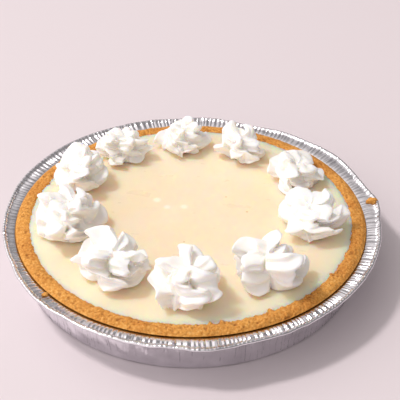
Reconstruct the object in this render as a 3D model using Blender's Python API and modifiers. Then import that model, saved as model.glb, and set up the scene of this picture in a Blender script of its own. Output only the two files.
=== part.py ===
"""Lemon cream pie in its foil tin: a crumb crust, a smooth lemon filling and ten piped cream rosettes.

Metres, +Z up. The origin is the centre of the tin's underside, -Y is the front of the pie.
"""

import math
import random

import bmesh
import bpy
from mathutils import Vector, noise

MM = 0.001

# The foil tin, along the middle of its wall.
FOIL = 0.4 * MM
TIN_BASE_RADIUS = 101.9 * MM
TIN_BASE_CORNER = 1.2 * MM
TIN_WALL_TOP_RADIUS = 104.9 * MM
FLANGE_HEIGHT = 26.3 * MM
FLANGE_BEND = 1.2 * MM
FLANGE_FLAT = 2.6 * MM
LIP_RISE = 2.4 * MM
RIM_RADIUS = 114.9 * MM
RIM_ROLL = 0.9 * MM
LIP_RUFFLE = 0.45 * MM
ROUND_STEPS = 72

# Bends in the lip of a handled tin: azimuth and half width in degrees, push outward and upward.
LIP_BENDS = (
    (-160, 22, -2.2 * MM, 0.3 * MM),
    (177, 20, -1.6 * MM, 0.1 * MM),
    (-102, 36, -0.6 * MM, -1.7 * MM),
    (-84, 11, 1.9 * MM, 0.0 * MM),
    (-64, 38, -0.6 * MM, -1.7 * MM),
    (8, 9, 2.3 * MM, 0.3 * MM),
    (36, 15, 1.6 * MM, 0.2 * MM),
    (70, 15, -1.6 * MM, -0.8 * MM),
    (96, 9, -1.0 * MM, -0.3 * MM),
    (134, 20, 0.4 * MM, 0.3 * MM),
)

# The crust follows the tin with a hair of air, and its rim stands just over the flange.
AIR = 0.3 * MM
CRUST_FLOOR = 4.2 * MM
CRUST_INNER_RADIUS = 96.8 * MM
CRUST_OUTER_RADIUS = 105.2 * MM
CRUST_CROWN = 29.2 * MM
CRUST_WALL = 7.4 * MM
CRUST_CORNER = 3.0 * MM
CRUST_CRUMB = 0.4 * MM

# The filling reaches almost to the top of the crust.
FILLING_TOP = 28.4 * MM
FILLING_SWELL = 0.25 * MM
FILLING_EDGE_DROP = 0.5 * MM

# Each rosette: azimuth and distance from the middle of the pie, half sizes across and along the
# pie's radius, height, petals, seed of its petals.
ROSETTES = (
    (-126.1, 73.3, 23.1, 21.5, 26.2, 6, 3538),
    (-90.2, 75.4, 24.0, 22.3, 29.9, 6, 3597),
    (-54.2, 75.4, 24.0, 22.3, 27.4, 6, 1488),
    (-8.6, 70.6, 24.4, 22.7, 21.5, 6, 2675),
    (30.3, 76.8, 21.8, 20.3, 17.7, 6, 3516),
    (64.2, 72.9, 17.3, 16.1, 21.5, 6, 2468),
    (94.8, 75.9, 18.5, 17.2, 19.7, 6, 2889),
    (124.1, 79.3, 19.4, 18.0, 18.9, 6, 1150),
    (154.7, 77.0, 21.4, 19.9, 23.3, 6, 1060),
    (-167.8, 73.8, 24.9, 23.2, 29.7, 6, 3561),
)
STEPS_PER_PETAL = 16
ROSETTE_RINGS = 40
ROSETTE_GRAIN = 0.7 * MM
ROSETTE_TRIANGLES = 760
FIN_HALF_THICKNESS = 0.115

# Outline of a rosette, from its underside to its top: share of the way, then reach and height of
# a petal's crest, and of the groove between two petals, as shares of the rosette's size.
CREST = (
    (0.00, 0.00, 0.00),
    (0.10, 0.74, 0.00),
    (0.20, 0.96, 0.07),
    (0.30, 1.00, 0.22),
    (0.40, 0.92, 0.38),
    (0.50, 0.80, 0.52),
    (0.60, 0.82, 0.70),
    (0.70, 0.84, 0.88),
    (0.80, 0.62, 1.00),
    (0.90, 0.30, 0.93),
    (1.00, 0.00, 0.76),
)
GROOVE = (
    (0.00, 0.00, 0.00),
    (0.10, 0.44, 0.00),
    (0.20, 0.50, 0.06),
    (0.30, 0.50, 0.18),
    (0.40, 0.46, 0.32),
    (0.50, 0.42, 0.42),
    (0.60, 0.36, 0.50),
    (0.70, 0.28, 0.58),
    (0.80, 0.20, 0.65),
    (0.90, 0.10, 0.71),
    (1.00, 0.00, 0.76),
)


def material(name, colour, roughness, metallic=0.0):
    made = bpy.data.materials.new(name)
    made.use_nodes = True
    shader = made.node_tree.nodes["Principled BSDF"]
    shader.inputs["Base Color"].default_value = (*colour, 1.0)
    shader.inputs["Roughness"].default_value = roughness
    shader.inputs["Metallic"].default_value = metallic
    return made


def shade(mesh, sharp_from):
    """Smooth shading, but for edges sharper than an angle in degrees."""
    mesh.shade_smooth()
    mesh.set_sharp_from_angle(angle=math.radians(sharp_from))


def add_object(name, bm, group, finish):
    mesh = bpy.data.meshes.new(name)
    bm.to_mesh(mesh)
    bm.free()
    shade(mesh, 40)
    mesh.materials.append(finish)
    made = bpy.data.objects.new(name, mesh)
    group.objects.link(made)
    return made


def apply_modifier(piece, kind, **values):
    modifier = piece.modifiers.new(kind.lower(), kind)
    for key, value in values.items():
        setattr(modifier, key, value)
    bpy.context.view_layer.objects.active = piece
    bpy.ops.object.modifier_apply(modifier=modifier.name)


def arc(centre_x, centre_z, radius, start, end, steps):
    angles = [math.radians(start + (end - start) * i / steps) for i in range(steps + 1)]
    return [(centre_x + radius * math.cos(a), centre_z + radius * math.sin(a)) for a in angles]


def turned(profile):
    """The surface that a profile of (radius, height) points sweeps round the Z axis."""
    bm = bmesh.new()
    points = [bm.verts.new((x, 0, z)) for x, z in profile]
    lines = [bm.edges.new(pair) for pair in zip(points, points[1:])]
    bmesh.ops.spin(
        bm,
        geom=points + lines,
        cent=(0, 0, 0),
        axis=(0, 0, 1),
        angle=math.tau,
        steps=ROUND_STEPS,
        use_merge=True,
    )
    bmesh.ops.remove_doubles(bm, verts=bm.verts, dist=0.01 * MM)
    bmesh.ops.recalc_face_normals(bm, faces=bm.faces)
    return bm


def smooth_step(value):
    value = min(max(value, 0.0), 1.0)
    return value * value * (3 - 2 * value)


def bump(azimuth, centre, half_width):
    """1 at the centre's azimuth, falling to 0 at the half width, in degrees."""
    away = abs((azimuth - centre + 180) % 360 - 180)
    return smooth_step(1 - away / half_width) if away < half_width else 0.0


def tin_wall_radius(height):
    """Radius of the middle of the tin's wall at a height above its corner."""
    share = (height - TIN_BASE_CORNER) / (FLANGE_HEIGHT - TIN_BASE_CORNER)
    return TIN_BASE_RADIUS + (TIN_WALL_TOP_RADIUS - TIN_BASE_RADIUS) * share


def tin_profile():
    floor = FOIL / 2
    corner_x = TIN_BASE_RADIUS - TIN_BASE_CORNER
    bend_x = TIN_WALL_TOP_RADIUS + FLANGE_BEND
    bend_z = FLANGE_HEIGHT - FLANGE_BEND
    roll_x = RIM_RADIUS - RIM_ROLL - FOIL / 2
    roll_z = FLANGE_HEIGHT + LIP_RISE - RIM_ROLL
    return (
        [(0, floor)]
        + arc(corner_x, floor + TIN_BASE_CORNER, TIN_BASE_CORNER, -90, -10, 2)
        + arc(bend_x, bend_z, FLANGE_BEND, 180, 90, 2)
        + [(bend_x + FLANGE_FLAT, FLANGE_HEIGHT)]
        + arc(roll_x, roll_z, RIM_ROLL, 110, -110, 4)
    )


def build_tin(group, foil):
    bm = turned(tin_profile())
    lip_start = TIN_WALL_TOP_RADIUS + FLANGE_BEND + FLANGE_FLAT
    for vert in bm.verts:
        radius = math.hypot(vert.co.x, vert.co.y)
        share = smooth_step((radius - lip_start) / (RIM_RADIUS - RIM_ROLL - lip_start))
        if share <= 0:
            continue
        azimuth = math.degrees(math.atan2(vert.co.y, vert.co.x))
        outward = vert.co.xy.normalized()
        ruffle = noise.noise(Vector((outward.x, outward.y, 0)) * 13) * LIP_RUFFLE
        push = sum(out * bump(azimuth, at, width) for at, width, out, up in LIP_BENDS)
        rise = sum(up * bump(azimuth, at, width) for at, width, out, up in LIP_BENDS)
        vert.co.xy += outward * (push + ruffle) * share
        vert.co.z += (rise - ruffle) * share
    tin = add_object("pie_tin", bm, group, foil)
    wall = tin.modifiers.new("foil", "SOLIDIFY")
    wall.thickness = FOIL
    wall.offset = 0
    return tin


def crust_foot_radius():
    """Radius of the inside of the crust's wall, just above its corner with the floor."""
    return tin_wall_radius(CRUST_FLOOR + CRUST_CORNER) - CRUST_WALL


def crust_profile():
    """Closed round the crust's section: under the floor, up the tin, over the rim, back inside."""
    clear = FOIL / 2 + AIR
    floor = FOIL + AIR
    wall_z = TIN_BASE_CORNER + FOIL
    shoulder_z = FLANGE_HEIGHT - FLANGE_BEND
    rim_low = FLANGE_HEIGHT + FOIL + AIR
    foot = crust_foot_radius()
    return [
        (0, floor),
        (TIN_BASE_RADIUS - TIN_BASE_CORNER - clear, floor),
        (tin_wall_radius(wall_z) - clear - 0.4 * MM, wall_z),
        (tin_wall_radius(shoulder_z) - clear, shoulder_z),
        (CRUST_OUTER_RADIUS - 0.3 * MM, rim_low),
        (CRUST_OUTER_RADIUS, rim_low + 0.7 * MM),
        (CRUST_OUTER_RADIUS - 1.3 * MM, CRUST_CROWN - 0.8 * MM),
        (CRUST_OUTER_RADIUS - 3.3 * MM, CRUST_CROWN - 0.1 * MM),
        (CRUST_OUTER_RADIUS - 5.4 * MM, CRUST_CROWN),
        (CRUST_INNER_RADIUS + 1.3 * MM, CRUST_CROWN - 0.3 * MM),
        (CRUST_INNER_RADIUS, CRUST_CROWN - 1.1 * MM),
        (CRUST_INNER_RADIUS - 0.5 * MM, FILLING_TOP - 2 * MM),
        (foot, CRUST_FLOOR + CRUST_CORNER),
        (foot - CRUST_CORNER, CRUST_FLOOR),
        (0, CRUST_FLOOR),
    ]


def build_crust(group, crumb):
    bm = turned(crust_profile())
    for vert in bm.verts:
        if vert.co.z < FILLING_TOP:
            continue
        lump = Vector((noise.noise(vert.co * 260), noise.noise(vert.co * 230 + Vector((5, 0, 0))), 0))
        outward = vert.co.xy.normalized()
        vert.co.z += lump.x * CRUST_CRUMB
        vert.co.xy += outward * lump.y * CRUST_CRUMB
    return add_object("crumb_crust", bm, group, crumb)


def build_filling(group, lemon):
    foot = crust_foot_radius()
    edge = CRUST_INNER_RADIUS - 0.5 * MM - AIR
    profile = [
        (0, CRUST_FLOOR + AIR),
        (foot - CRUST_CORNER - AIR, CRUST_FLOOR + AIR),
        (foot - AIR, CRUST_FLOOR + CRUST_CORNER + AIR),
        (edge, FILLING_TOP - 2 * MM),
        (edge, FILLING_TOP - FILLING_EDGE_DROP),
        (edge - 1.5 * MM, FILLING_TOP),
        (edge * 0.6, FILLING_TOP),
        (edge * 0.25, FILLING_TOP),
        (0, FILLING_TOP),
    ]
    bm = turned(profile)
    for vert in bm.verts:
        if vert.co.z > FILLING_TOP - 0.1 * MM:
            vert.co.z += noise.noise(vert.co * 38) * FILLING_SWELL
    return add_object("lemon_filling", bm, group, lemon)


def along(outline, share):
    """Reach and height at a share of the way along an outline."""
    for (start, reach, height), (end, next_reach, next_height) in zip(outline, outline[1:]):
        if share <= end:
            blend = (share - start) / (end - start)
            return reach + (next_reach - reach) * blend, height + (next_height - height) * blend
    return outline[-1][1:]


def draw_petals(count, seed):
    """Uneven petals of one rosette, each with its azimuth and what sets it apart from the others.

    A petal's "small" is the fin in the groove after it, as a share of a whole petal.
    """
    draw = random.Random(seed)
    first = draw.uniform(0, 360)
    petals = []
    for number in range(count):
        petals.append(
            {
                "azimuth": first + 360 / count * (number + draw.uniform(-0.3, 0.3)),
                "low": draw.uniform(0.80, 1.05),
                "high": draw.uniform(0.55, 1.12),
                "raised": draw.uniform(0.0, 0.45),
                "lift": draw.uniform(0.72, 1.04),
                "broad": draw.uniform(0.3, 1.0),
                "groove": draw.uniform(0.34, 0.66),
                "lean": draw.uniform(-0.35, 0.6),
                "wave": draw.uniform(-1, 1),
                "deep": draw.uniform(0.0, 1.0),
            }
        )
    frills = random.Random(seed + 300)
    for petal in petals:
        petal["small"] = max(0.0, frills.uniform(-0.45, 0.75))
        petal["phase"] = frills.uniform(0.0, 1.0)
        petal["waves"] = frills.uniform(1.3, 2.3)
    return petals


def azimuth_at(petals, turn):
    """Azimuth in degrees at a turn, where whole turns are the petals' crests."""
    index = math.floor(turn)
    part = turn - index
    left, right = petals[index % len(petals)], petals[(index + 1) % len(petals)]
    sweep = (right["azimuth"] - left["azimuth"]) % 360
    groove = left["groove"]
    share = groove * part * 2 if part < 0.5 else groove + (1 - groove) * (part * 2 - 1)
    return left["azimuth"] + sweep * share


def wavy(cycles, phase):
    return math.sin(math.tau * (cycles + phase))


def rosette_point(petals, turn, share, twist):
    """Direction in degrees, reach and height of a rosette's surface, as shares of its size.

    The petals are thick fins whose crests go over half a petal to the side on their way up, and
    wave from side to side; small fins stand in some of the grooves between them.
    """
    count = len(petals)
    upper = smooth_step((share - 0.30) / 0.40)
    moved = turn + 0.5 * upper
    crest = round(moved)
    side = math.copysign(1, moved - crest)
    away = abs(moved - crest) * 2
    petal = petals[crest % count]
    gap = petals[(crest if side > 0 else crest - 1) % count]

    rim = min(away / 0.30, 1) * math.pi / 2
    fall = smooth_step((away - 0.20) / 0.58)
    floor = smooth_step((away - 0.74) / 0.26)
    ridge = (1 - fall) * (0.90 + 0.10 * math.cos(rim))
    full = max(ridge, gap["small"] * smooth_step((away - 0.70) / 0.26))
    thick = FIN_HALF_THICKNESS * (0.8 + 0.5 * petal["broad"]) * (1 + 0.8 * fall)

    crest_reach, crest_height = along(CREST, share)
    groove_reach, groove_height = along(GROOVE, share)
    groove_reach *= 1.15 - 0.60 * gap["deep"]
    stretch = petal["low"] * (1 - upper) + petal["high"] * upper
    hang = petal["raised"] * ridge * (1 - upper)
    under = 1 - smooth_step(share / 0.3)
    frill = 0.08 * wavy(share * petal["waves"] * 1.6, petal["phase"])
    frill *= smooth_step(share * 8) * (1 - share)
    reach = groove_reach + (crest_reach * (stretch + frill) - groove_reach - hang * under) * full
    height = groove_height + (crest_height - groove_height) * full
    height = height * (1 + (petal["lift"] - 1) * full * upper) + hang * 0.6 * (1 - under)

    start = azimuth_at(petals, crest - 0.5 * upper)
    sweep = azimuth_at(petals, crest + side * 0.5 - 0.5 * upper) - start
    sweep = (sweep + 180) % 360 - 180
    spread = math.degrees(math.atan2(thick * math.sin(rim), max(reach, 0.06)))
    spread = min(spread, abs(sweep) * 0.85)
    aside = side * spread * (1 - floor) + sweep * floor
    sway = wavy(share * petal["waves"], petal["phase"]) * (0.20 + 0.12 * abs(petal["wave"]))
    bend = 0.5 * petal["lean"] * ridge + sway * ridge * smooth_step(share * 6)
    return start + aside + twist * reach + 360 / count * bend, reach, height


def leaned(flat, height, toward, strength):
    """A rosette's surface point after the whole rosette leans towards a direction."""
    height *= 1 + strength * flat.dot(toward) * 1.2
    return flat + toward * strength * height * 0.7, height


def build_rosette(number, place, group, cream):
    azimuth, distance, across, along_radius, size_up, count, seed = place
    petals = draw_petals(count, seed)
    twist = random.Random(seed + 100).uniform(14, 34)
    draw = random.Random(seed + 200)
    lean_azimuth = math.radians(draw.uniform(0, 360))
    lean_strength = draw.uniform(0.0, 0.22)
    toward = Vector((math.cos(lean_azimuth), math.sin(lean_azimuth)))
    steps = STEPS_PER_PETAL * count
    bm = bmesh.new()
    bmesh.ops.create_uvsphere(bm, u_segments=steps, v_segments=ROSETTE_RINGS, radius=1.0)
    outward = Vector((math.cos(math.radians(azimuth)), math.sin(math.radians(azimuth))))
    sideways = Vector((-outward.y, outward.x))
    for vert in bm.verts:
        share = 1 - math.acos(max(-1.0, min(1.0, vert.co.z))) / math.pi
        turn = (math.atan2(vert.co.y, vert.co.x) / math.tau % 1.0) * count
        direction, reach, up = rosette_point(petals, turn, share, twist)
        angle = math.radians(direction)
        flat = Vector((math.cos(angle), math.sin(angle))) * reach
        flat, up = leaned(flat, up, toward, lean_strength)
        level = (
            outward * (distance + flat.dot(outward) * along_radius)
            + sideways * flat.dot(sideways) * across
        )
        base = FILLING_TOP + FILLING_SWELL + AIR
        vert.co = (level.x * MM, level.y * MM, base + up * size_up * MM)
    rosette = add_object(f"cream_rosette_{number:02d}", bm, group, cream)
    # The wavy fins touch in places: the cream gets one skin, which is then thinned out.
    apply_modifier(rosette, "REMESH", mode="VOXEL", voxel_size=ROSETTE_GRAIN)
    share_kept = ROSETTE_TRIANGLES / (2 * len(rosette.data.polygons))
    apply_modifier(rosette, "DECIMATE", ratio=share_kept)
    shade(rosette.data, 75)


def main():
    for old in list(bpy.data.objects):
        bpy.data.objects.remove(old)
    group = bpy.data.collections.new("lemon_cream_pie")
    bpy.context.scene.collection.children.link(group)
    build_tin(group, material("foil", (0.77, 0.76, 0.78), 0.28, 1.0))
    build_crust(group, material("baked_crumb", (0.60, 0.32, 0.10), 0.9))
    build_filling(group, material("lemon_filling", (0.94, 0.80, 0.52), 0.4))
    cream = material("whipped_cream", (0.94, 0.91, 0.87), 0.55)
    for number, place in enumerate(ROSETTES, 1):
        build_rosette(number, place, group, cream)


main()
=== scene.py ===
"""Lemon cream pie in its crimped foil tin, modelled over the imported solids. Metres, +Z up."""

import math
import random

import bpy
import numpy as np
from mathutils import Matrix, Vector, noise


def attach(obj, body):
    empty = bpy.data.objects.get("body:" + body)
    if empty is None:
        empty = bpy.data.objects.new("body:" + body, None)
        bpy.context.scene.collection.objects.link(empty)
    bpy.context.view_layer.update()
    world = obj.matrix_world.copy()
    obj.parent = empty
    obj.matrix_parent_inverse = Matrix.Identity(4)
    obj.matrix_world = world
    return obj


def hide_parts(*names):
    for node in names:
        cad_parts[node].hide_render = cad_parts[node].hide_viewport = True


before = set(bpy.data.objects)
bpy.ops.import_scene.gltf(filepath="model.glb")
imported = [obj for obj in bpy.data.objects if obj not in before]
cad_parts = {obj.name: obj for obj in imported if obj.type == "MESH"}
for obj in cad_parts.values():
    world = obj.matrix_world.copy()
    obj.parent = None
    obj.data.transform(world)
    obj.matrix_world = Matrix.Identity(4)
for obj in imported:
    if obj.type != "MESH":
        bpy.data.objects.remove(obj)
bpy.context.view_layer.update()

MM = 0.001

# The foil tin, along the middle of its wall.
FOIL = 0.22 * MM
TIN_BASE_RADIUS = 101.9 * MM
TIN_BASE_CORNER = 1.2 * MM
TIN_FLOOR = 0.2 * MM
TIN_WALL_TOP_RADIUS = 104.9 * MM
FLANGE_HEIGHT = 26.3 * MM
FLANGE_BEND = 1.2 * MM
FLANGE_FLAT = 2.6 * MM
LIP_RISE = 2.4 * MM
RIM_RADIUS = 114.9 * MM
RIM_ROLL = 0.9 * MM
LIP_RUFFLE = 0.45 * MM
LIP_DIP = 1.5 * MM
FLANGE_ARCH = 0.65 * MM
CRIMPS = 240
CRIMP_STEPS = 8
CRIMP_DEPTH = 0.55 * MM

# How deep handling pressed creases and dents into the foil.
FLANGE_CREASE = 0.3 * MM
WALL_CREASE = 0.45 * MM
WALL_FINE_CREASE = 0.10 * MM
WALL_DENT = 0.72 * MM
WALL_SMALL_DENT = 0.40 * MM
WALL_SETBACK = 0.1 * MM
WALL_DEEPEST = 0.95 * MM

# Bends in the lip of a handled tin: azimuth and half width in degrees, push outward and upward.
LIP_BENDS = (
    (-160, 22, -2.2 * MM, 0.3 * MM),
    (177, 20, -1.6 * MM, 0.1 * MM),
    (-102, 36, -0.6 * MM, -1.7 * MM),
    (-84, 11, 1.9 * MM, 0.0 * MM),
    (-64, 38, -0.6 * MM, -1.7 * MM),
    (8, 9, 2.3 * MM, 0.3 * MM),
    (36, 15, 1.6 * MM, 0.2 * MM),
    (70, 15, -1.6 * MM, -0.8 * MM),
    (96, 9, -1.0 * MM, -0.3 * MM),
    (134, 20, 0.4 * MM, 0.3 * MM),
)

# The crust and the filling. The hidden side of the crust stays clear of the foil's dents.
AIR = 0.3 * MM
FLOOR_RING_RADIUS = 60 * MM
CRUST_UNDERSIDE = 0.7 * MM
CRUST_FLOOR = 4.2 * MM
CRUST_WALL = 7.4 * MM
CRUST_CORNER = 3 * MM
CRUST_CLEARANCE = 1.3 * MM
CRUST_INNER_RADIUS = 96.8 * MM
CRUST_OUTER_RADIUS = 105.2 * MM
CRUST_CROWN = 29.2 * MM
CRUST_STEPS = 1700
CRUMB_SPACING = 0.36 * MM

# Spots to a metre in the noises that break the crust's rim into crumbs.
GRAINS = 520
FINE_GRAINS = 1000
PORES = 430
LUMPS = 190

# Crags on the crust's inner edge: azimuth, radius, half width, reach inward and rise in mm.
CRAGS = (
    (-83.0, 95.6, 2.2, 2.0, 0.4),
    (-79.2, 96.6, 1.8, 1.3, 0.6),
    (-62.8, 95.6, 2.6, 2.1, 0.5),
    (-34.0, 96.0, 1.8, 0.9, 0.3),
    (159.7, 97.8, 2.2, 1.6, 0.7),
)

# Pockets broken out of the rim, and its larger pores: azimuth, radius, half length, half width
# and depth in mm.
POCKETS = (
    (-50.7, 96.4, 4.6, 2.0, 2.4),
    (-42.2, 96.0, 2.6, 1.5, 1.7),
    (-59.2, 105.0, 3.6, 0.8, 0.9),
    (-34.1, 98.4, 0.9, 0.8, 1.3),
    (-31.9, 99.0, 0.7, 0.7, 1.0),
    (-45.0, 100.6, 0.8, 0.6, 0.8),
    (11.7, 98.6, 0.9, 0.8, 1.2),
    (6.7, 98.9, 0.8, 0.7, 1.0),
    (35.8, 102.5, 0.9, 0.7, 1.0),
)

FILLING_TOP = 28.4 * MM
FILLING_SWELL = 0.25 * MM
FILLING_STROKE = 0.30 * MM
FILLING_RIPPLE = 0.06 * MM
FILLING_STEPS = 512
FILLING_RINGS = 70

# Marks on the filling: position and half size in mm, and how they tint it.
CREAM_TINT = (0.97, 0.88, 0.74)
CRUMB_TINT = (0.76, 0.50, 0.24)
MARKS = (
    (-21.2, 16.8, 3.6, CREAM_TINT),
    (-14.8, 9.5, 3.0, CREAM_TINT),
    (-4.4, 9.7, 3.4, CREAM_TINT),
    (21.5, 20.6, 0.9, CRUMB_TINT),
    (34.1, 5.0, 1.1, CRUMB_TINT),
    (-3.7, -25.3, 0.8, CRUMB_TINT),
)

# Each rosette: azimuth and distance from the middle of the pie, half sizes across and along the
# pie's radius, height, petals, seed of its petals.
ROSETTES = (
    (-126.1, 73.3, 23.1, 21.5, 26.2, 6, 3538),
    (-90.2, 75.4, 24.0, 22.3, 29.9, 6, 3597),
    (-54.2, 75.4, 24.0, 22.3, 27.4, 6, 1488),
    (-8.6, 70.6, 24.4, 22.7, 21.5, 6, 2675),
    (30.3, 76.8, 21.8, 20.3, 17.7, 6, 3516),
    (64.2, 72.9, 17.3, 16.1, 21.5, 6, 2468),
    (94.8, 75.9, 18.5, 17.2, 19.7, 6, 2889),
    (124.1, 79.3, 19.4, 18.0, 18.9, 6, 1150),
    (154.7, 77.0, 21.4, 19.9, 23.3, 6, 1060),
    (-167.8, 73.8, 24.9, 23.2, 29.7, 6, 3561),
)
CREAM_STEPS = 288
CREAM_RINGS = 112
FIN_HALF_THICKNESS = 0.05
RUFFLE_DEPTH = 0.06
FOOT_SINK = 0.6 * MM
CREAM_GRAIN = 0.45 * MM
RUFFLE_SEED = 7
CREAM_SMOOTHING = 4

# Outline of a rosette, from its underside to its top: share of the way, then reach and height of
# a petal's crest, and of the groove between two petals, as shares of the rosette's size.
CREST = (
    (0.00, 0.00, 0.00),
    (0.10, 0.74, 0.00),
    (0.20, 0.96, 0.07),
    (0.30, 1.00, 0.22),
    (0.40, 0.92, 0.38),
    (0.50, 0.80, 0.52),
    (0.60, 0.82, 0.70),
    (0.70, 0.84, 0.88),
    (0.80, 0.62, 1.00),
    (0.90, 0.30, 0.93),
    (1.00, 0.00, 0.76),
)
GROOVE = (
    (0.00, 0.00, 0.00),
    (0.10, 0.44, 0.00),
    (0.20, 0.50, 0.06),
    (0.30, 0.50, 0.18),
    (0.40, 0.46, 0.32),
    (0.50, 0.42, 0.42),
    (0.60, 0.36, 0.50),
    (0.70, 0.28, 0.58),
    (0.80, 0.20, 0.65),
    (0.90, 0.10, 0.71),
    (1.00, 0.00, 0.76),
)

# Crumbs that fell on the flange: name, middle and half sizes in mm, seed of its shape.
LOOSE_CRUMBS = (
    ("loose_crumb_right", (111.6, 17.0, 28.9), (3.2, 2.4, 1.6), 5),
    ("loose_crumb_left", (-79.6, -72.6, 27.9), (1.6, 1.3, 0.9), 11),
)

# The window's light, and how the room's brightness fades from side to side and to the back.
DAYLIGHT = (1.0, 0.955, 0.93)
WINDOW_PLACE = (-1.69, 0.18, 2.94)
WINDOW_AIM = (0, 0, 0.02)
WINDOW_SIZE = 0.42
WINDOW_POWER = 57
ROOM_ACROSS = {"From Min": 0.6, "From Max": -0.8, "To Min": 0.32, "To Max": 1.3}
ROOM_BEHIND = {"From Min": 0.55, "From Max": 0.95, "To Min": 1.0, "To Max": 0.5}

# The camera: its place, how it is turned in degrees, and its lens in mm.
CAMERA_PLACE = (0.0073, -0.5359, 0.4255)
CAMERA_PITCH = 35.69
CAMERA_YAW = -0.2
CAMERA_ROLL = 0.31
CAMERA_SENSOR = 36
CAMERA_LENS = 99


# Shared tools


def smooth_step(value):
    value = min(max(value, 0.0), 1.0)
    return value * value * (3 - 2 * value)


def bump(azimuth, centre, half_width):
    """1 at the centre's azimuth, falling to 0 at the half width, in degrees."""
    away = abs((azimuth - centre + 180) % 360 - 180)
    return smooth_step(1 - away / half_width) if away < half_width else 0.0


def arc(centre_x, centre_z, radius, start, end, steps):
    angles = [math.radians(start + (end - start) * i / steps) for i in range(steps + 1)]
    return [(centre_x + radius * math.cos(a), centre_z + radius * math.sin(a)) for a in angles]


def between(start, end, steps):
    """Points on the straight line after its start, up to its end."""
    shares = [i / steps for i in range(1, steps + 1)]
    return [(start[0] + (end[0] - start[0]) * s, start[1] + (end[1] - start[1]) * s) for s in shares]


def add_ring(name, radius, height, steps):
    """A circle of points in edit mode, selected and ready to be extruded."""
    bpy.ops.object.select_all(action="DESELECT")
    bpy.ops.mesh.primitive_circle_add(vertices=steps, radius=radius, fill_type="NOTHING")
    piece = bpy.context.object
    piece.name = name
    bpy.ops.object.mode_set(mode="EDIT")
    bpy.ops.mesh.select_mode(type="VERT")
    bpy.ops.mesh.select_all(action="SELECT")
    bpy.ops.transform.translate(value=(0, 0, height))
    return piece


def extrude_rings(profile):
    """Extrudes the selected ring through a profile's (radius, height) points after the first."""
    for (radius, height), (wider, higher) in zip(profile, profile[1:]):
        bpy.ops.mesh.extrude_region_move(
            TRANSFORM_OT_translate={"value": (0, 0, higher - height)}
        )
        grow = wider / radius
        bpy.ops.transform.resize(value=(grow, grow, 1), center_override=(0, 0, 0))


def close_to_centre():
    """Closes the selected ring to one point in its middle."""
    bpy.ops.mesh.extrude_region_move()
    bpy.ops.mesh.merge(type="CENTER")


def turned(name, profile, steps, close_start):
    """A piece turned from a profile that ends at the axis, and starts there if close_start."""
    piece = add_ring(name, *profile[0], steps)
    extrude_rings(profile)
    close_to_centre()
    if close_start:
        bpy.ops.mesh.select_all(action="DESELECT")
        bpy.ops.mesh.select_non_manifold()
        close_to_centre()
    bpy.ops.mesh.select_all(action="SELECT")
    bpy.ops.mesh.normals_make_consistent(inside=False)
    bpy.ops.object.mode_set(mode="OBJECT")
    return piece


def move_points(piece, moved):
    """Sets each point of a piece to what moved() makes of it."""
    for point in piece.data.vertices:
        point.co = moved(point.co)
    piece.data.update()


def apply_modifier(piece, kind, **values):
    modifier = piece.modifiers.new(kind.title(), kind)
    for key, value in values.items():
        setattr(modifier, key, value)
    bpy.context.view_layer.objects.active = piece
    bpy.ops.object.modifier_apply(modifier=modifier.name)


def finish_piece(piece, material, slot, *nodes, smooth=60):
    bpy.ops.object.select_all(action="DESELECT")
    piece.select_set(True)
    bpy.context.view_layer.objects.active = piece
    bpy.ops.object.transform_apply(location=True, rotation=True, scale=True)
    bpy.ops.object.shade_smooth_by_angle(angle=math.radians(smooth))
    piece.data.materials.clear()
    piece.data.materials.append(material)
    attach(piece, "root")
    if nodes:
        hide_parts(*nodes)
    return piece


# Finishes


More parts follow.
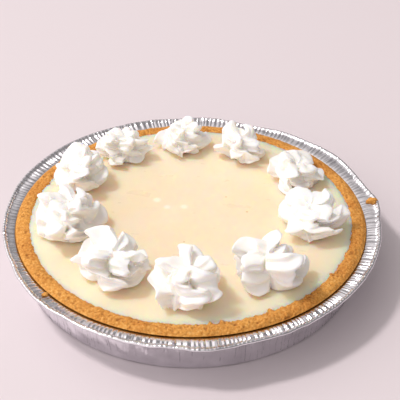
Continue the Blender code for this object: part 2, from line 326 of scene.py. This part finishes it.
class Finish:
    """A material whose nodes are added one by one round its Principled shader."""

    def __init__(self, name, colour, roughness, **sockets):
        self.made = bpy.data.materials.new(name)
        self.made.use_nodes = True
        self.tree = self.made.node_tree
        self.shader = self.tree.nodes["Principled BSDF"]
        self.shader.inputs["Base Color"].default_value = (*colour, 1)
        self.shader.inputs["Roughness"].default_value = roughness
        for key, value in sockets.items():
            self.shader.inputs[key.replace("_", " ")].default_value = value
        self.place = self.add("ShaderNodeTexCoord").outputs["Object"]

    def add(self, kind, **values):
        node = self.tree.nodes.new(kind)
        for key, value in values.items():
            if key in node.inputs:
                node.inputs[key].default_value = value
            else:
                setattr(node, key, value)
        return node

    def link(self, start, end):
        self.tree.links.new(start, end)

    def speckle(self, scale, detail=4.0, rough=0.5, stretch=None):
        """Noise of so many spots a metre; stretch scales it along each axis."""
        node = self.add("ShaderNodeTexNoise", Scale=scale, Detail=detail, Roughness=rough)
        place = self.place
        if stretch:
            mapping = self.add("ShaderNodeMapping")
            mapping.inputs["Scale"].default_value = stretch
            self.link(place, mapping.inputs["Vector"])
            place = mapping.outputs["Vector"]
        self.link(place, node.inputs["Vector"])
        return node.outputs["Fac"]

    def ramp(self, factor, *stops):
        node = self.add("ShaderNodeValToRGB")
        elements = node.color_ramp.elements
        while len(elements) < len(stops):
            elements.new(0.5)
        for element, (position, colour) in zip(elements, stops):
            element.position = position
            element.color = (*colour, 1)
        self.link(factor, node.inputs["Fac"])
        return node.outputs["Color"]

    def mix(self, factor, first, second, blend="MIX"):
        node = self.add("ShaderNodeMix", data_type="RGBA", blend_type=blend)
        if isinstance(factor, float):
            node.inputs[0].default_value = factor
        else:
            self.link(factor, node.inputs[0])
        for socket, value in ((node.inputs[6], first), (node.inputs[7], second)):
            if isinstance(value, tuple):
                socket.default_value = (*value, 1)
            else:
                self.link(value, socket)
        return node.outputs[2]

    def scaled(self, factor, low, high):
        """A noise factor of 0.3 to 0.7 spread over low to high."""
        node = self.add("ShaderNodeMapRange")
        node.inputs["From Min"].default_value = 0.3
        node.inputs["From Max"].default_value = 0.7
        node.inputs["To Min"].default_value = low
        node.inputs["To Max"].default_value = high
        self.link(factor, node.inputs["Value"])
        return node.outputs["Result"]

    def spot(self, x, y, radius):
        """1 at a place in mm on the pie's top, fading to 0 at the radius in mm."""
        away = self.add("ShaderNodeVectorMath", operation="DISTANCE")
        away.inputs[1].default_value = (x * MM, y * MM, FILLING_TOP)
        self.link(self.place, away.inputs[0])
        fade = self.add("ShaderNodeMapRange", interpolation_type="SMOOTHSTEP")
        fade.inputs["From Min"].default_value = radius * MM
        fade.inputs["From Max"].default_value = radius * 0.2 * MM
        self.link(away.outputs["Value"], fade.inputs["Value"])
        return fade.outputs["Result"]

    def relief(self, height, distance, strength=1.0, under=None):
        node = self.add("ShaderNodeBump", Strength=strength, Distance=distance)
        self.link(height, node.inputs["Height"])
        if under:
            self.link(under, node.inputs["Normal"])
        return node.outputs["Normal"]

    def colour_from(self, socket):
        self.link(socket, self.shader.inputs["Base Color"])

    def roughness_from(self, socket):
        self.link(socket, self.shader.inputs["Roughness"])

    def normal_from(self, socket):
        self.link(socket, self.shader.inputs["Normal"])


def foil_finish():
    foil = Finish("crimped_foil", (0.80, 0.79, 0.81), 0.22, Metallic=1.0)
    haze = foil.speckle(90, 3)
    foil.colour_from(foil.ramp(haze, (0.3, (0.70, 0.68, 0.72)), (0.7, (0.86, 0.84, 0.88))))
    foil.roughness_from(foil.scaled(foil.speckle(60, 2), 0.10, 0.22))
    wrinkle = foil.relief(foil.speckle(240, 2), 0.25 * MM, 0.5)
    foil.normal_from(foil.relief(foil.speckle(900, 2), 0.05 * MM, 0.4, wrinkle))
    return foil.made


def crumb_finish():
    crumb = Finish("baked_crumb", (0.62, 0.29, 0.08), 0.82)
    crumb.shader.inputs["Specular IOR Level"].default_value = 0.3
    tan = crumb.ramp(
        crumb.speckle(700, 6, 0.7),
        (0.32, (0.44, 0.165, 0.028)),
        (0.44, (0.66, 0.290, 0.055)),
        (0.56, (0.78, 0.385, 0.092)),
        (0.72, (0.90, 0.56, 0.20)),
    )
    baked = crumb.ramp(crumb.speckle(60, 4), (0.35, (0.84, 0.74, 0.64)), (0.62, (1.0, 1.0, 1.0)))
    crust = crumb.mix(1.0, tan, baked, "MULTIPLY")
    # Painted shade: the crust's pockets, pores and crevices are mixed toward a near-black brown in
    # place of the shade that falls in them.
    hollow_shade = crumb.add("ShaderNodeAttribute", attribute_name="hollow_shade").outputs["Fac"]
    crumb.colour_from(crumb.mix(hollow_shade, crust, (0.13, 0.030, 0.006)))
    grain = crumb.relief(crumb.speckle(1100, 4, 0.6), 0.35 * MM, 0.7)
    crumb.normal_from(grain)
    return crumb.made


def lemon_finish():
    lemon = Finish("lemon_filling", (0.94, 0.79, 0.57), 0.36)
    lemon.shader.inputs["Subsurface Weight"].default_value = 0.9
    lemon.shader.inputs["Subsurface Radius"].default_value = (1.0, 0.48, 0.12)
    lemon.shader.inputs["Subsurface Scale"].default_value = 0.016
    cloud = lemon.speckle(28, 4)
    colour = lemon.ramp(cloud, (0.35, (0.935, 0.755, 0.54)), (0.65, (0.955, 0.785, 0.59)))
    for x, y, radius, tint in MARKS:
        colour = lemon.mix(lemon.spot(x, y, radius), colour, tint)
    lemon.colour_from(colour)
    lemon.roughness_from(lemon.scaled(lemon.speckle(60, 3, 0.5, (1, 2.4, 1)), 0.26, 0.46))
    smear = lemon.relief(lemon.speckle(90, 3, 0.5, (1, 2.2, 1)), 0.12 * MM, 0.35)
    lemon.normal_from(lemon.relief(lemon.speckle(900, 2), 0.03 * MM, 0.3, smear))
    return lemon.made


def cream_finish():
    cream = Finish("whipped_cream", (0.97, 0.95, 0.92), 0.5)
    cream.shader.inputs["Subsurface Weight"].default_value = 0.7
    cream.shader.inputs["Subsurface Radius"].default_value = (1.0, 0.8, 0.55)
    cream.shader.inputs["Subsurface Scale"].default_value = 0.006
    airy = cream.speckle(160, 3)
    cream.colour_from(cream.ramp(airy, (0.3, (0.970, 0.935, 0.885)), (0.7, (0.990, 0.968, 0.930))))
    cream.roughness_from(cream.scaled(cream.speckle(300, 2), 0.42, 0.6))
    cream.normal_from(cream.relief(cream.speckle(650, 3), 0.08 * MM, 0.4))
    return cream.made


# The foil tin


def tin_profile():
    """From the curled end of the rim in over the flange, down the wall and across the floor."""
    corner_x = TIN_BASE_RADIUS - TIN_BASE_CORNER
    bend_x = TIN_WALL_TOP_RADIUS + FLANGE_BEND
    bend_z = FLANGE_HEIGHT - FLANGE_BEND
    roll_x = RIM_RADIUS - RIM_ROLL - FOIL / 2
    roll_z = FLANGE_HEIGHT + LIP_RISE - RIM_ROLL
    roll = arc(roll_x, roll_z, RIM_ROLL, -110, 110, 4)
    flat_end = (bend_x + FLANGE_FLAT, FLANGE_HEIGHT)
    bend = arc(bend_x, bend_z, FLANGE_BEND, 90, 180, 2)
    corner = arc(corner_x, TIN_FLOOR + TIN_BASE_CORNER, TIN_BASE_CORNER, -10, -90, 2)
    dip = (roll_x - LIP_DIP, FLANGE_HEIGHT + 0.5 * LIP_RISE)
    slope = between(roll[-1], dip, 2) + between(dip, flat_end, 3)
    flat = between(flat_end, bend[0], 2)
    wall = between(bend[-1], corner[0], 9)
    return roll + slope + flat + bend[1:] + wall + corner[1:]


def crimp_wave(azimuth):
    """Triangular folds of uneven width and depth round the rim, about -1 to 1."""
    phase = 1.1 * noise.noise(Vector((azimuth * 9, 0, 9))) + 0.5 * noise.noise(
        Vector((azimuth * 50, 0, 5))
    )
    turn = azimuth / math.tau * CRIMPS + phase
    away = abs(turn % 1.0 - 0.5) * 4 - 1
    return away * (0.85 + 0.7 * noise.noise(Vector((azimuth * 40, 0, 3))))


def handled_lip(point, share):
    """How the lip's bends and ruffle push a point outward and up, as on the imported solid."""
    azimuth = math.degrees(math.atan2(point.y, point.x))
    outward = point.xy.normalized()
    ruffle = noise.noise(Vector((outward.x, outward.y, 0)) * 13) * LIP_RUFFLE
    push, rise = 0.0, 0.0
    for middle, half_width, out, up in LIP_BENDS:
        near = bump(azimuth, middle, half_width)
        push += out * near
        rise += up * near
    return (push + ruffle) * share, (rise - ruffle) * share


def crimped_lip(azimuth, radius, share):
    """Folds across the flange and the lip: deep on the slope, shallower on the curled edge."""
    start = TIN_WALL_TOP_RADIUS + FLANGE_BEND
    span = (radius - start) / (RIM_RADIUS - start)
    depth = CRIMP_DEPTH * (0.5 * smooth_step(span / 0.1) + 0.5 * smooth_step((span - 0.15) / 0.3))
    fold = crimp_wave(azimuth) * depth * (1 - 0.85 * smooth_step((span - 0.74) / 0.16))
    crease = noise.noise(Vector((azimuth * 75, radius * 350, 1))) * FLANGE_CREASE * smooth_step(span)
    arch = FLANGE_ARCH * smooth_step(span / 0.25) * (1 - smooth_step((span - 0.25) / 0.5))
    return 0.45 * fold - 0.15 * MM * share, fold + crease + arch


def creased_wall(azimuth, height):
    """Narrow creases pressed down the wall, with shallow dents between them.

    Height goes from 0 at the floor to 1 at the flange.
    """
    line = abs(noise.noise(Vector((azimuth * 42, height * 0.7, 4))))
    crease = WALL_CREASE * smooth_step(1 - line / 0.16)
    fine = abs(noise.noise(Vector((azimuth * 110, height * 0.4, 8))))
    crease += WALL_FINE_CREASE * smooth_step(1 - fine / 0.3)
    dent = WALL_DENT * noise.noise(Vector((azimuth * 15 + height * 2, height * 3, 7)))
    dent += WALL_SMALL_DENT * noise.noise(Vector((azimuth * 50 + height * 5, height * 4, 2)))
    fade = smooth_step(height * 6) * smooth_step((1.0 - height) * 6)
    return max(dent - crease - WALL_SETBACK, -WALL_DEEPEST) * fade


def folded_foil(point):
    """Where a point of the plain tin lies once the foil is crimped, bent and creased."""
    radius = math.hypot(point.x, point.y)
    if radius < TIN_BASE_RADIUS * 0.9:
        return point
    azimuth = math.atan2(point.y, point.x)
    outward = Vector((point.x, point.y, 0)) / radius
    lip_start = TIN_WALL_TOP_RADIUS + FLANGE_BEND + FLANGE_FLAT
    share = smooth_step((radius - lip_start) / (RIM_RADIUS - RIM_ROLL - lip_start))
    push, rise = handled_lip(point, share)
    if point.z > FLANGE_HEIGHT - 0.1 * MM:
        aside, fold = crimped_lip(azimuth, radius, share)
        push, rise = push + aside, rise + fold
    else:
        push += creased_wall(azimuth, point.z / FLANGE_HEIGHT)
    return point + outward * push + Vector((0, 0, rise))


def make_tin(foil):
    tin = turned("foil_tin", tin_profile(), CRIMPS * CRIMP_STEPS, False)
    move_points(tin, folded_foil)
    apply_modifier(tin, "SOLIDIFY", thickness=FOIL, offset=0)
    return finish_piece(tin, foil, "foil", "pie_tin", smooth=75)


# The crumb crust


def tin_wall_radius(height):
    share = (height - TIN_BASE_CORNER) / (FLANGE_HEIGHT - TIN_BASE_CORNER)
    return TIN_BASE_RADIUS + (TIN_WALL_TOP_RADIUS - TIN_BASE_RADIUS) * share


def crust_foot_radius():
    """Where the crust's inner wall meets the rounded corner of its floor."""
    return tin_wall_radius(CRUST_FLOOR + CRUST_CORNER) - CRUST_WALL


def crust_profile():
    """Round the crust's section, from the middle of its floor up, over the rim and underneath."""
    wall_z = TIN_BASE_CORNER + 0.4 * MM
    shoulder_z = FLANGE_HEIGHT - FLANGE_BEND
    rim_low = FLANGE_HEIGHT + 0.5 * MM
    foot = crust_foot_radius()
    crown = [
        (CRUST_INNER_RADIUS - 0.5 * MM, FILLING_TOP - 2 * MM),
        (CRUST_INNER_RADIUS, CRUST_CROWN - 1.1 * MM),
        (CRUST_INNER_RADIUS + 1.3 * MM, CRUST_CROWN - 0.3 * MM),
        (CRUST_OUTER_RADIUS - 5.4 * MM, CRUST_CROWN),
        (CRUST_OUTER_RADIUS - 3.3 * MM, CRUST_CROWN - 0.1 * MM),
        (CRUST_OUTER_RADIUS - 1.4 * MM, CRUST_CROWN - 0.7 * MM),
        (CRUST_OUTER_RADIUS + 0.3 * MM, rim_low + 0.3 * MM),
        (CRUST_OUTER_RADIUS - 0.2 * MM, rim_low - 0.1 * MM),
    ]
    fine = [crown[0]]
    for start, end in zip(crown, crown[1:]):
        length = math.dist(start, end)
        fine += between(start, end, max(1, round(length / CRUMB_SPACING)))
    return [
        (FLOOR_RING_RADIUS, CRUST_FLOOR),
        (foot - CRUST_CORNER, CRUST_FLOOR),
        (foot, CRUST_FLOOR + CRUST_CORNER),
        *fine,
        (tin_wall_radius(shoulder_z) - CRUST_CLEARANCE, shoulder_z),
        (tin_wall_radius(wall_z) - CRUST_CLEARANCE - 0.4 * MM, wall_z),
        (TIN_BASE_RADIUS - TIN_BASE_CORNER - CRUST_CLEARANCE, CRUST_UNDERSIDE),
        (FLOOR_RING_RADIUS, CRUST_UNDERSIDE),
    ]


def near_place(point, azimuth, radius, half_length, half_width):
    """1 at a place on the crust's rim, fading to 0 at its half length round and width across."""
    angle = math.radians(azimuth)
    along_rim = (point.y * math.cos(angle) - point.x * math.sin(angle)) / MM
    across = math.hypot(point.x, point.y) / MM - radius
    if point.x * math.cos(angle) + point.y * math.sin(angle) < 0:
        return 0.0
    return smooth_step(1.4 * (1 - math.hypot(along_rim / half_length, across / half_width)))


def crumbled(point):
    """Where a point of the crust's rim lies once it is broken into crumbs, and how much painted
    shade its pockets, pores and crevices get.
    """
    low = FILLING_TOP - 1.6 * MM
    if point.z < low:
        return point, 0.0
    radius = math.hypot(point.x, point.y)
    outward = Vector((point.x, point.y, 0)) / radius
    fade = smooth_step((point.z - low) / (1.2 * MM))
    to_grain = noise.voronoi(point * GRAINS)[0][0]
    crumbs = (0.42 - to_grain) * 0.65 + noise.noise(point * FINE_GRAINS) * 0.25
    lumps = noise.noise(point * LUMPS + Vector((3, 1, 4))) * 0.6
    edge = noise.noise(Vector((outward.x, outward.y, 0)) * 26) * 0.9
    edge += noise.noise(Vector((outward.x, outward.y, 0)) * 60) * 0.8
    ragged = 1 + 0.8 * bump(math.degrees(math.atan2(point.y, point.x)), -60, 45)
    inner = smooth_step((CRUST_INNER_RADIUS + 2.2 * MM - radius) / (2.4 * MM))
    outer = smooth_step((radius - CRUST_OUTER_RADIUS + 1.6 * MM) / (1.6 * MM))
    pores = smooth_step((noise.noise(point * PORES + Vector((8, 0, 0))) - 0.36) / 0.2) * 0.45
    broken = sum(near_place(point, *place) * depth for *place, depth in POCKETS)

    up = (crumbs + lumps - pores) * (1 - 0.6 * outer) - broken
    out = edge * ragged * inner * 0.8 + crumbs * (inner + 1.5 * outer) + 0.25 * outer
    for azimuth, middle, half_width, reach, rise in CRAGS:
        near = near_place(point, azimuth, middle, half_width, half_width * 1.4)
        up += near * rise
        out -= near * reach
    moved = point + (outward * out + Vector((0, 0, up - 0.1))) * MM * fade
    # Painted shade: the crevices between grains, the pores and the broken pockets are darkened in
    # colour, as shade would darken them.
    crevice_shade = smooth_step((to_grain - 0.45) / 0.35) * 0.15
    return moved, min(1.0, 0.45 * broken + 0.7 * pores + crevice_shade) * fade


def make_crust(crumb):
    crust = turned("crumb_shell", crust_profile(), CRUST_STEPS, True)
    # Each point keeps the painted shade of its pockets, pores and crevices for the crust's colour.
    hollow_shades = crust.data.attributes.new("hollow_shade", "FLOAT", "POINT")
    for point, hollow_shade in zip(crust.data.vertices, hollow_shades.data):
        point.co, hollow_shade.value = crumbled(point.co)
    return finish_piece(crust, crumb, "baked_crumb", "crumb_crust", smooth=70)


# The lemon filling


def filling_profile():
    """From the middle of the top out to the crust and back underneath."""
    foot = crust_foot_radius()
    edge = CRUST_INNER_RADIUS + 0.5 * MM
    shares = [0.03 + 0.94 * i / FILLING_RINGS for i in range(FILLING_RINGS + 1)]
    return [
        *[(edge * share, FILLING_TOP) for share in shares],
        (edge - 1.6 * MM, FILLING_TOP - 0.1 * MM),
        (edge, FILLING_TOP - 0.5 * MM),
        (edge, FILLING_TOP - 2 * MM),
        (foot - AIR, CRUST_FLOOR + CRUST_CORNER + AIR),
        (foot - CRUST_CORNER - AIR, CRUST_FLOOR + AIR),
        (FLOOR_RING_RADIUS, CRUST_FLOOR + AIR),
    ]


def spread_cream(point):
    """Soft swells, and the strokes that a spatula left near the middle."""
    if point.z < FILLING_TOP - 0.15 * MM:
        return point
    swell = noise.noise(point * 38) * FILLING_SWELL
    stroke_line = Vector((point.x * 60 + point.y * 18, point.y * 170 - point.x * 40, 2))
    near = smooth_step(1 - math.hypot(point.x + 0.004, point.y - 0.018) / 0.055)
    stroke = noise.noise(stroke_line) * FILLING_STROKE * near
    ripple = noise.noise(point * 120) * FILLING_RIPPLE
    return point + Vector((0, 0, swell + stroke + ripple))


def make_filling(lemon):
    filling = turned("lemon_cream", filling_profile(), FILLING_STEPS, True)
    move_points(filling, spread_cream)
    return finish_piece(filling, lemon, "lemon_filling", "lemon_filling", smooth=50)


# The piped rosettes


def ease(value):
    """smooth_step for arrays."""
    value = np.clip(value, 0.0, 1.0)
    return value * value * (3 - 2 * value)


def along(outline, share):
    """Reach and height at shares of the way along an outline, with its corners rounded."""
    rows = np.array(outline)
    fine = np.linspace(0, 1, 201)
    result = []
    for column in (1, 2):
        line = np.interp(fine, rows[:, 0], rows[:, column])
        padded = np.pad(line, 8, mode="reflect", reflect_type="odd")
        soft = np.convolve(padded, np.ones(17) / 17, mode="valid")
        result.append(np.interp(share, fine, soft))
    return result


def draw_petals(count, seed):
    """Uneven petals of one rosette: for each trait, an array with a value for every petal."""
    draw = random.Random(seed)
    first = draw.uniform(0, 360)
    petals = []
    for number in range(count):
        petals.append(
            {
                "azimuth": first + 360 / count * (number + draw.uniform(-0.3, 0.3)),
                "low": draw.uniform(0.80, 1.05),
                "high": draw.uniform(0.55, 1.12),
                "raised": draw.uniform(0.0, 0.45),
                "lift": draw.uniform(0.72, 1.04),
                "broad": draw.uniform(0.3, 1.0),
                "groove": draw.uniform(0.34, 0.66),
                "lean": draw.uniform(-0.35, 0.6),
                "wave": draw.uniform(-1, 1),
                "deep": draw.uniform(0.0, 1.0),
            }
        )
    frills = random.Random(seed + 300)
    for petal in petals:
        petal["small"] = max(0.0, frills.uniform(-0.45, 0.75))
        petal["phase"] = frills.uniform(0.0, 1.0)
        petal["waves"] = frills.uniform(1.3, 2.3)
    return {trait: np.array([petal[trait] for petal in petals]) for trait in petals[0]}


def azimuth_at(petals, turn):
    """Azimuth in degrees at a turn, where whole turns are the petals' crests."""
    count = len(petals["azimuth"])
    index = np.floor(turn).astype(int)
    part = turn - index
    left = petals["azimuth"][index % count]
    sweep = (petals["azimuth"][(index + 1) % count] - left) % 360
    groove = petals["groove"][index % count]
    share = np.where(part < 0.5, groove * part * 2, groove + (1 - groove) * (part * 2 - 1))
    return left + sweep * share


def wavy(cycles, phase):
    return np.sin(math.tau * (cycles + phase))


def cream_surface(petals, turn, share, twist):
    """Direction in degrees, reach and height of the cream, as shares of the rosette's size.

    The petals are thick fins whose crests go over half a petal to the side on their way up, and
    wave from side to side; small fins stand in some of the grooves between them.
    """
    count = len(petals["azimuth"])
    upper = ease((share - 0.30) / 0.40)
    moved = turn + 0.5 * upper
    crest = np.round(moved).astype(int)
    near = crest % count
    side = np.sign(moved - crest)
    away = np.abs(moved - crest) * 2
    gap = np.where(side > 0, near, (crest - 1) % count)
    own = {trait: values[near] for trait, values in petals.items()}
    phase, waves, broad = own["phase"], own["waves"], own["broad"]

    rim = np.clip(away / 0.30, 0, 1) * (math.pi / 2)
    fall = ease((away - 0.20) / 0.58)
    floor = ease((away - 0.74) / 0.26)
    ridge = (1 - fall) * (0.90 + 0.10 * np.cos(rim))
    small_fin = petals["small"][gap] * ease((away - 0.70) / 0.26)
    full = np.maximum(ridge, small_fin)

    # A fin is as thick where it runs level as where it stands upright.
    swing = 0.22 + 0.14 * np.abs(own["wave"])
    sway = swing * wavy(share * waves, phase) + 0.10 * wavy(share * waves * 2.6, phase * 3)
    run = swing * wavy(share * waves, phase + 0.25)
    run = run + 0.26 * wavy(share * waves * 2.6, phase * 3 + 0.25)
    run = np.minimum(np.abs(run) * waves * math.tau * math.pi / count, 3)
    uneven = (1 + 0.25 * wavy(share * waves * 1.7, phase * 7)) * np.sqrt(1 + run**2)
    thick = FIN_HALF_THICKNESS * (0.8 + 0.5 * broad) * uneven * (1 + 2.4 * fall)

    crest_reach, crest_height = along(CREST, share)
    groove_reach, groove_height = along(GROOVE, share)
    groove_reach = groove_reach * (1.15 - 0.60 * petals["deep"][gap])
    stretch = own["low"] * (1 - upper) + own["high"] * upper
    hang = own["raised"] * ridge * (1 - upper)
    under = 1 - ease(share / 0.3)
    frill = 0.08 * wavy(share * waves * 1.6, phase) + 0.04 * wavy(share * waves * 3.7, phase * 5)
    frill = frill * ease(share * 8) * (1 - share)
    reach = groove_reach + (crest_reach * (stretch + frill) - groove_reach - hang * under) * full
    height = groove_height + (crest_height - groove_height) * full
    height = height * (1 + (own["lift"] - 1) * full * upper) + hang * 0.6 * (1 - under)

    start = azimuth_at(petals, crest - 0.5 * upper)
    sweep = azimuth_at(petals, crest + side * 0.5 - 0.5 * upper) - start
    sweep = (sweep + 180) % 360 - 180
    spread = np.degrees(np.arctan2(thick * np.sin(rim), np.maximum(reach, 0.06)))
    spread = np.minimum(spread, np.abs(sweep) * 0.85)
    turned_aside = side * spread * (1 - floor) + sweep * floor
    bend = 0.5 * own["lean"] * ridge + sway * ridge * ease(share * 6)
    return start + turned_aside + twist * reach + 360 / count * bend, reach, height


def ruffles(flat, up, seed):
    """Small waves in the cream that fade out toward its foot, from the noise's fixed seed."""
    shift = Vector((seed % 97, 0, 0))
    places = [Vector((x, y, z)) for (x, y), z in zip(flat, up)]
    waves = [noise.noise_vector(place * 2.8 + shift) * RUFFLE_DEPTH for place in places]
    return np.array(waves) * ease(up * 6)[:, None]


def make_rosette(number, place, cream):
    azimuth, distance, across, along_radius, tall, count, seed = place
    petals = draw_petals(count, seed)
    twist = random.Random(seed + 100).uniform(14, 34)
    draw = random.Random(seed + 200)
    lean_azimuth = math.radians(draw.uniform(0, 360))
    lean_strength = draw.uniform(0.0, 0.22)
    toward = np.array((math.cos(lean_azimuth), math.sin(lean_azimuth)))
    outward = np.array((math.cos(math.radians(azimuth)), math.sin(math.radians(azimuth))))
    sideways = np.array((-outward[1], outward[0]))
    base = FILLING_TOP + FILLING_SWELL + AIR

    bpy.ops.object.select_all(action="DESELECT")
    bpy.ops.mesh.primitive_uv_sphere_add(segments=CREAM_STEPS, ring_count=CREAM_RINGS, radius=1)
    rosette = bpy.context.object
    rosette.name = f"piped_rosette_{number:02d}"
    points = np.empty(len(rosette.data.vertices) * 3)
    rosette.data.vertices.foreach_get("co", points)
    x, y, z = points.reshape(-1, 3).T
    share = 1 - np.arccos(np.clip(z, -1, 1)) / math.pi
    turn = (np.arctan2(y, x) / math.tau % 1.0) * count

    direction, reach, up = cream_surface(petals, turn, share, twist)
    angle = np.radians(direction)
    flat = np.column_stack((np.cos(angle) * reach, np.sin(angle) * reach))
    ruffle = ruffles(flat, up, seed)
    flat = flat + ruffle[:, :2]
    up = np.maximum(up + ruffle[:, 2], 0)
    up = up * (1 + lean_strength * (flat @ toward) * 1.2)
    flat = flat + np.outer(lean_strength * up * 0.7, toward)
    level = np.outer(distance + (flat @ outward) * along_radius, outward)
    level = level + np.outer((flat @ sideways) * across, sideways)
    sunk = FOOT_SINK * (1 - ease(up * 8))
    points = np.column_stack((level * MM, base + up * tall * MM - sunk))
    rosette.data.vertices.foreach_set("co", points.ravel())
    rosette.data.update()
    apply_modifier(rosette, "REMESH", mode="VOXEL", voxel_size=CREAM_GRAIN)
    apply_modifier(rosette, "SMOOTH", factor=0.5, iterations=CREAM_SMOOTHING)
    node = f"cream_rosette_{number:02d}"
    return finish_piece(rosette, cream, "whipped_cream", node, smooth=180)


# Loose crumbs


def make_crumb(name, crumb, place, size, seed):
    """A broken crumb that lies on the foil."""
    bpy.ops.object.select_all(action="DESELECT")
    bpy.ops.mesh.primitive_ico_sphere_add(subdivisions=5, radius=1)
    piece = bpy.context.object
    piece.name = name

    def broken(point):
        at = point * 1.3 + Vector((seed, 0, 0))
        reach = 1 + 0.35 * noise.noise(at) + 0.16 * noise.noise(at * 3) + 0.07 * noise.noise(at * 8)
        return Vector(place) * MM + Vector([p * s * MM * reach for p, s in zip(point, size)])

    move_points(piece, broken)
    return finish_piece(piece, crumb, "baked_crumb", smooth=60)


# Floor, light and camera


def make_floor():
    bpy.ops.object.select_all(action="DESELECT")
    bpy.ops.mesh.primitive_plane_add(size=8)
    floor = bpy.context.object
    floor.name = "pale_floor"
    pale = Finish("pale_floor", (0.74, 0.665, 0.70), 0.5)
    floor.data.materials.append(pale.made)


def make_window():
    light = bpy.data.lights.new("window_light", "AREA")
    light.shape = "RECTANGLE"
    light.size = WINDOW_SIZE
    light.size_y = WINDOW_SIZE
    light.energy = WINDOW_POWER
    light.color = DAYLIGHT
    lamp = bpy.data.objects.new("window_light", light)
    lamp.location = WINDOW_PLACE
    aim = Vector(WINDOW_AIM) - Vector(WINDOW_PLACE)
    lamp.rotation_euler = aim.to_track_quat("-Z", "Y").to_euler()
    bpy.context.scene.collection.objects.link(lamp)


def make_room_light():
    """Air that is bright on the window's side, and dimmer on the other side and far behind."""
    world = bpy.data.worlds.new("studio_air")
    bpy.context.scene.world = world
    world.use_nodes = True
    tree = world.node_tree
    background = tree.nodes["Background"]
    background.inputs["Color"].default_value = (*DAYLIGHT, 1)

    direction = tree.nodes.new("ShaderNodeTexCoord").outputs["Generated"]
    parts = tree.nodes.new("ShaderNodeSeparateXYZ")
    tree.links.new(direction, parts.inputs["Vector"])
    both = tree.nodes.new("ShaderNodeMath")
    both.operation = "MULTIPLY"
    for axis, place, values in (("X", 0, ROOM_ACROSS), ("Y", 1, ROOM_BEHIND)):
        fade = tree.nodes.new("ShaderNodeMapRange")
        fade.interpolation_type = "SMOOTHSTEP"
        for key, value in values.items():
            fade.inputs[key].default_value = value
        tree.links.new(parts.outputs[axis], fade.inputs["Value"])
        tree.links.new(fade.outputs["Result"], both.inputs[place])
    tree.links.new(both.outputs["Value"], background.inputs["Strength"])


def make_camera():
    """Looks down on the pie from the front, with the horizon very slightly tipped."""
    pitch, yaw, roll = [math.radians(a) for a in (CAMERA_PITCH, CAMERA_YAW, CAMERA_ROLL)]
    ahead = Vector(
        (math.sin(yaw) * math.cos(pitch), math.cos(yaw) * math.cos(pitch), -math.sin(pitch))
    )
    level = Vector((math.cos(yaw), -math.sin(yaw), 0))
    upright = level.cross(ahead)
    right = level * math.cos(roll) + upright * math.sin(roll)
    up = -level * math.sin(roll) + upright * math.cos(roll)
    turned_to_pie = Matrix((right, up, -ahead)).transposed().to_4x4()
    lens = bpy.data.cameras.new("camera")
    lens.sensor_width = CAMERA_SENSOR
    lens.lens = CAMERA_LENS
    lens.clip_start = 0.01
    camera = bpy.data.objects.new("camera", lens)
    camera.matrix_world = Matrix.Translation(CAMERA_PLACE) @ turned_to_pie
    bpy.context.scene.collection.objects.link(camera)
    bpy.context.scene.camera = camera


foil = foil_finish()
crumb = crumb_finish()
lemon = lemon_finish()
cream = cream_finish()
make_tin(foil)
make_crust(crumb)
make_filling(lemon)
noise.seed_set(RUFFLE_SEED)
for number, place in enumerate(ROSETTES, 1):
    make_rosette(number, place, cream)
for name, place, size, seed in LOOSE_CRUMBS:
    make_crumb(name, crumb, place, size, seed)
make_floor()
make_window()
make_room_light()
make_camera()
bpy.context.scene.view_settings.view_transform = "Standard"
